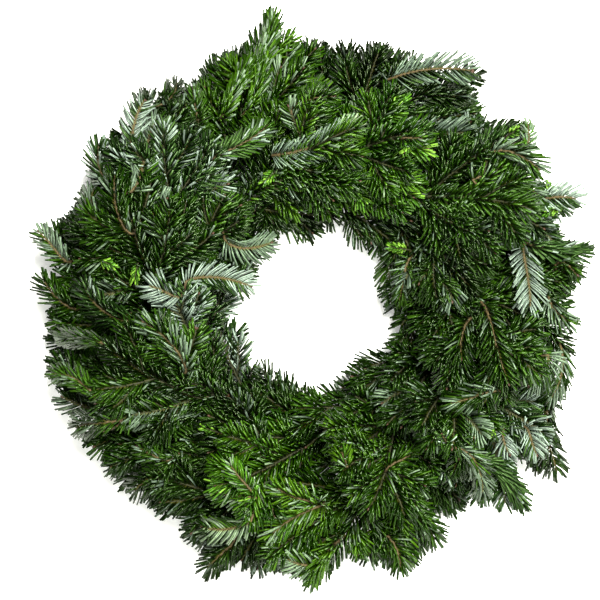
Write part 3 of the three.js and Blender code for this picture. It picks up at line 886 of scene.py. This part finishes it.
def lay_on(tree, shader, colour, grain, rough, bump):
    """A skin's colour, and from its grain the roughness as (range, least) and bump as (strength, metres)."""
    dull = add(tree, MATH, SCALED, in_0=grain, in_1=rough[0], in_2=rough[1])
    raised = add(tree, BUMP, Strength=bump[0], Distance=bump[1], Height=grain)
    tree.links.new(colour, shader.inputs["Base Color"])
    tree.links.new(dull.outputs[0], shader.inputs["Roughness"])
    tree.links.new(raised.outputs[0], shader.inputs["Normal"])


def grained(name, kind, settings, inputs, stretch, shades, rough, bump, upper_shades=None):
    """A matt skin from one pattern. The upper half of the map may have shades of its own."""
    material, tree, shader = new_material(name)
    place = add(tree, UV_MAP, dict(uv_map=GROWTH_MAP))
    spot = add(tree, MAPPING, Vector=place, **stretch)
    pattern = add(tree, kind, settings, Vector=spot, **inputs)
    grain = pattern.outputs["Fac"] if "Fac" in pattern.outputs else pattern.outputs["Distance"]
    colour = add(tree, RAMP, dict(stops=shades), in_0=grain).outputs[0]
    if upper_shades:
        upper = add(tree, RAMP, dict(stops=upper_shades), in_0=grain)
        height = add(tree, "ShaderNodeSeparateXYZ", in_0=place).outputs[1]
        above = add(tree, MATH, dict(operation="GREATER_THAN"), in_0=height, in_1=BROWN_FROM)
        colour = add(tree, MIX, MIXED, in_0=above, in_6=colour, in_7=upper).outputs[2]
    lay_on(tree, shader, colour, grain, rough, bump)
    return material


# Needle tones from dark to pale, the two shades of the pale bands, and the gloss of the upper face. The
# new growth is the same on every spray, from spring green to the palest tips.
NEEDLE_LOOKS = {
    "dark": (["#040e00", "#0a1b01", "#172d06", "#2b4610"], ("#4c5c4a", "#84968a"), 0.15),
    "green": (["#061300", "#0e2401", "#1f3a06", "#365810"], ("#52624e", "#8a9c8c"), 0.15),
    "fresh": (["#081900", "#132d01", "#294806", "#446810"], ("#586852", "#90a290"), 0.15),
    "bright": (["#0a1d00", "#163501", "#2b4c05", "#446a10"], ("#5e6c54", "#96a692"), 0.16),
    "silver": (["#081402", "#102406", "#263f18", "#3f5a2a"], ("#73847a", "#b4c4ba"), 0.15),
}
GROWTH = ["#335812", "#4a7a1c", "#74a034", "#a8bc80"]

needle_looks = {tone: needle_material(f"fir_needles_{tone}", *look) for tone, look in NEEDLE_LOOKS.items()}
# Bark of young fir twigs: matt, with cracks about 1 mm apart and 2 mm long. It is olive green on grown
# twigs, and brown on the twigs that lie on top.
bark = grained(
    "fir_bark", NOISE, FLAT, dict(Scale=1.0, Detail=4.0, Roughness=0.65), dict(Scale=(90, 350, 1)),
    [(0.3, "#0f1205"), (0.5, "#23260c"), (0.74, "#484a1e")], (0.3, 0.62), (0.8, 0.0006),
    [(0.3, "#1a1508"), (0.5, "#403416"), (0.74, "#746038")],
)
# Resinous winter buds: brown scales about 1 mm long, with a slight gloss
bud = grained(
    "fir_bud_scales", "ShaderNodeTexVoronoi", dict(voronoi_dimensions="2D"), dict(Scale=1.0),
    dict(Scale=(70, 5, 1)),
    [(0.0, "#4c2e16"), (0.45, "#38200e"), (0.9, "#201408")], (0.3, 0.35), (0.6, 0.0005),
)
# Freshly cut fir: pale cream wood with growth rings about half a millimetre apart
cut_wood = grained(
    "fresh_cut_fir_wood", "ShaderNodeTexWave", dict(wave_type="RINGS", rings_direction="Z"),
    dict(Scale=60.0, Distortion=1.5, Detail=2.0), dict(Location=(CUT_SHARE / 2 - 1, -0.5, 0)),
    [(0.2, "#d9c08a"), (0.8, "#b8945a")], (0.15, 0.6), (0.4, 0.0003),
)

lowest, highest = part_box("wire_frame")
middle = np.array([(lowest.x + highest.x) / 2, (lowest.y + highest.y) / 2, 0.0]) * METRE

sprays = []
for number, kind in enumerate(ROWS):
    for clamp in range(CLAMP_COUNT):
        rng = np.random.default_rng(1000 * number + clamp)
        shoots, tone = shoots_of(kind, clamp, rng)
        sprays.append((f"{kind}_{clamp + 1:02d}", tone, shoots, rng))

every_point = np.concatenate([s.points for _, _, shoots, _ in sprays for s in shoots])


def on_wreath(x, y):
    """Where a pixel of the photograph is, seen from the middle of the ring."""
    return np.array([(x - MIDDLE_PIXEL[0]) * PIXEL, (MIDDLE_PIXEL[1] - y) * PIXEL])


def canopy(spot):
    """How high the twigs reach round a spot."""
    near = np.hypot(*(every_point[:, :2] - spot).T) < CANOPY_ROUND
    return np.percentile(every_point[near, 2], CANOPY_PERCENTILE) if near.any() else CANOPY_LEAST


def host_of(spot, height, away):
    """The spray and the point on it that a twig on top springs from."""
    best = None
    for number, (_, _, shoots, _) in enumerate(sprays):
        for shoot in shoots[:HOST_SHOOTS]:
            gap = np.hypot(*(shoot.points[:, :2] - spot).T)
            cost = np.abs(gap - away) + np.abs(height - shoot.points[:, 2]) * HOST_HEIGHT_WEIGHT
            i = int(np.argmin(cost))
            if best is None or cost[i] < best[0]:
                best = (cost[i], number, shoot.points[i])
    return best[1], best[2]


chance = np.random.default_rng(TOP_SEED)
for x, y in NEW_TIPS:
    spot = on_wreath(x, y)
    top = min(canopy(spot) + TUFT_RISE, TUFT_TOP)
    number, root = host_of(spot, top, TUFT_ROOT)
    end = np.array([*spot, top])
    path = swept(root, root + (end - root) * TUFT_BEND, end, count=12)
    habit = dict(size=chance.uniform(*TUFT_SIZE_RANGE), roll=chance.uniform(*TUFT_ROLL_RANGE), **TUFT_HABIT)
    sprays[number][2].append(Shoot(path, TWIGLET_RADIUS, SHOOT_TIP_RADIUS, TUFT_BARE, **habit))
for x0, y0, x1, y1, size, look in TOP_TWIGS:
    start, finish = on_wreath(x0, y0), on_wreath(x1, y1)
    low, high = (min(canopy(end) + TOP_TWIG_RISE, TOP_TWIG_TOP) for end in (start, finish))
    number, root = host_of(start, low, TOP_TWIG_ROOT)
    a, b = np.array([*start, low]), np.array([*finish, high])
    across = np.array([a[1] - b[1], b[0] - a[0], 0])
    bow = across * chance.choice([-1, 1]) * chance.uniform(*TOP_TWIG_BOW_RANGE)
    path = swept(root, a, (a + b) / 2 + bow + [0, 0, TOP_TWIG_ARCH], b, count=20)
    habit = dict(size=size, bare=TOP_TWIG_BARE, roll=chance.uniform(*TOP_TWIG_ROLL_RANGE), brown=1)
    if look in ("pale", "frosted"):
        habit.update(roll=habit["roll"] + 180, twisted=PALE_TWISTED[chance.integers(len(PALE_TWISTED))])
    habit.update(TWIG_LOOKS[look])
    sprays[number][2].append(Shoot(path, TOP_TWIG_RADIUS, SHOOT_TIP_RADIUS, **habit))
every_shoot = [shoot for _, _, shoots, _ in sprays for shoot in shoots]
ends = np.array([shoot.points[-1] for shoot in every_shoot])
for x, y in BUDS:
    cost = np.hypot(*(ends[:, :2] - on_wreath(x, y)).T) - BUD_HEIGHT_WEIGHT * ends[:, 2]
    every_shoot[int(np.argmin(cost))].habit["buds"] = len(BUD_ANGLES)

for node, tone, shoots, rng in sprays:
    skin = Skin()
    for shoot in shoots:
        grow_needles(skin, shoot, rng)
        grow_bark(skin, shoot, shoot is shoots[0])
        buds = shoot.habit.get("buds", int(rng.random() < BUD_CHANCE))
        for angle in BUD_ANGLES[:buds]:
            way = unit(turned(shoot.along[-1], shoot.up[-1], angle) + [0, 0, BUD_LIFT])
            length, radius = rng.uniform(*BUD_LENGTH_RANGE), rng.uniform(*BUD_RADIUS_RANGE)
            grow_bud(skin, shoot.points[-1], way, length, radius)
    mesh = skin.mesh(f"{node}_foliage", middle, [needle_looks[tone], bark, bud, cut_wood])
    spray = placed(f"{node}_foliage", mesh)
    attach(spray, "root")
    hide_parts(node)

# The frame's wire, lacquered dark green. Its orange peel is drawn 4 mm across, coarser than real, to show.
wire, tree, shader = new_material("green_lacquered_wire")
spot = add(tree, "ShaderNodeTexCoord").outputs["Object"]
speck = add(tree, NOISE, Vector=spot, Scale=260.0, Detail=3.0)
shade = add(tree, RAMP, dict(stops=[(0.3, "#1c3020"), (0.7, "#2c4630")]), in_0=speck)
lay_on(tree, shader, shade.outputs[0], speck, (0.3, 0.3), (0.4, 0.0004))


def rounded(corners, bend):
    """A bent wire's path, with each inner corner rounded."""
    corners = [np.array(c, float) for c in corners]
    path = [corners[0]]
    for before, corner, after in zip(corners, corners[1:], corners[2:]):
        before, after = unit(before - corner) * bend, unit(after - corner) * bend
        path += list(swept(corner + before, corner, corner + after, count=6))
    return path + [corners[-1]]


def wire_mesh(name, paths, radius, closed):
    """Round wire bent along each path, as one mesh."""
    curve = bpy.data.curves.new(name, "CURVE")
    curve.dimensions = "3D"
    curve.bevel_depth = radius / METRE
    curve.bevel_resolution = 2
    curve.use_fill_caps = True
    for path in paths:
        spline = curve.splines.new("POLY")
        spline.points.add(len(path) - 1)
        spline.points.foreach_set("co", np.c_[(np.array(path) + middle) / METRE, np.ones(len(path))].ravel())
        spline.use_cyclic_u = closed
    holder = placed(name, curve)
    made = bpy.data.meshes.new_from_object(holder.evaluated_get(bpy.context.evaluated_depsgraph_get()))
    bpy.data.objects.remove(holder)
    return made


rail_radii = [FRAME_RADIUS - RAIL_SPACING / 2, FRAME_RADIUS + RAIL_SPACING / 2]
turns = [n * 360 / RAIL_POINTS for n in range(RAIL_POINTS)]
rails = [[outward(turn) * r + [0, 0, RAIL_RADIUS] for turn in turns] for r in rail_radii]
clamps = []
welds = []
for clamp in range(CLAMP_COUNT):
    clock = FIRST_CLAMP + clamp * 360 / CLAMP_COUNT
    # The wire runs over the stems, down outside them, under them and up again, as (out, up, along)
    route = [
        (CLAMP_OVERLAP, CLAMP_HIGH, PRONG_OFFSET), (-CLAMP_HALF, CLAMP_HIGH, PRONG_OFFSET),
        (-CLAMP_HALF, CLAMP_LOW, 0), (CLAMP_HALF, CLAMP_LOW, 0), (CLAMP_HALF, CLAMP_HIGH, -PRONG_OFFSET),
        (-CLAMP_OVERLAP, CLAMP_HIGH, -PRONG_OFFSET),
    ]
    corners = [outward(clock) * (FRAME_RADIUS + a) + forward(clock) * b + [0, 0, h] for a, h, b in route]
    clamps.append(rounded(corners, BEND))
    welds += [outward(clock) * r + [0, 0, CLAMP_LOW - WELD_DROP] for r in rail_radii]
bm = bmesh.new()
for made in (wire_mesh("rails", rails, RAIL_RADIUS, True), wire_mesh("clamps", clamps, CLAMP_RADIUS, False)):
    bm.from_mesh(made)
for weld in welds:
    place = Matrix.Translation(Vector((weld + middle) / METRE))
    bmesh.ops.create_icosphere(bm, subdivisions=2, radius=WELD_RADIUS / METRE, matrix=place)
bmesh.ops.recalc_face_normals(bm, faces=bm.faces)
for face in bm.faces:
    face.smooth = True
frame_mesh = bpy.data.meshes.new("wire_frame_welded")
bm.to_mesh(frame_mesh)
bm.free()
frame_mesh.materials.append(wire)
wire_frame = placed("wire_frame_welded", frame_mesh)
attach(wire_frame, "root")
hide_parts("wire_frame")

# The floor, the camera straight above and soft light all round
bm = bmesh.new()
under = Matrix.Translation((0, 0, -FLOOR_DROP))
bmesh.ops.create_grid(bm, x_segments=1, y_segments=1, size=FLOOR_HALF, matrix=under)
floor_mesh = bpy.data.meshes.new("floor")
bm.to_mesh(floor_mesh)
bm.free()
floor = placed("floor", floor_mesh)
paper, _, shader = new_material("white_paper")
shader.inputs["Base Color"].default_value = linear("#fafafa")
shader.inputs["Roughness"].default_value = PAPER_ROUGHNESS
shader.inputs["Emission Color"].default_value = linear("#ffffff")
shader.inputs["Emission Strength"].default_value = FLOOR_GLOW
floor_mesh.materials.append(paper)

aim = Vector((
    (middle[0] + (PHOTO_MIDDLE - MIDDLE_PIXEL[0]) * PIXEL) / METRE,
    (middle[1] + (MIDDLE_PIXEL[1] - PHOTO_MIDDLE) * PIXEL) / METRE,
    SIGHT_HEIGHT / METRE,
))
camera_data = bpy.data.cameras.new("camera")
camera_data.lens = CAMERA_LENS
camera_data.sensor_width = SENSOR
camera = placed("camera", camera_data)
camera.location = aim + Vector((0, 0, CAMERA_HEIGHT / METRE))
bpy.context.scene.camera = camera

for name, place, size, power in LIGHTS:
    lamp = bpy.data.lights.new(name, "AREA")
    lamp.shape = "SQUARE"
    lamp.size = size
    lamp.energy = power
    lamp.color = LIGHT_COLOUR
    light = placed(name, lamp)
    light.location = place
    light.rotation_euler = (LIGHT_AIM - Vector(place)).to_track_quat("-Z", "Y").to_euler()
world = bpy.data.worlds.new("studio")
world.use_nodes = True
backdrop = world.node_tree.nodes["Background"].inputs
backdrop["Color"].default_value = STUDIO_COLOUR
backdrop["Strength"].default_value = STUDIO_STRENGTH
bpy.context.scene.world = world
bpy.context.scene.view_settings.view_transform = "Standard"
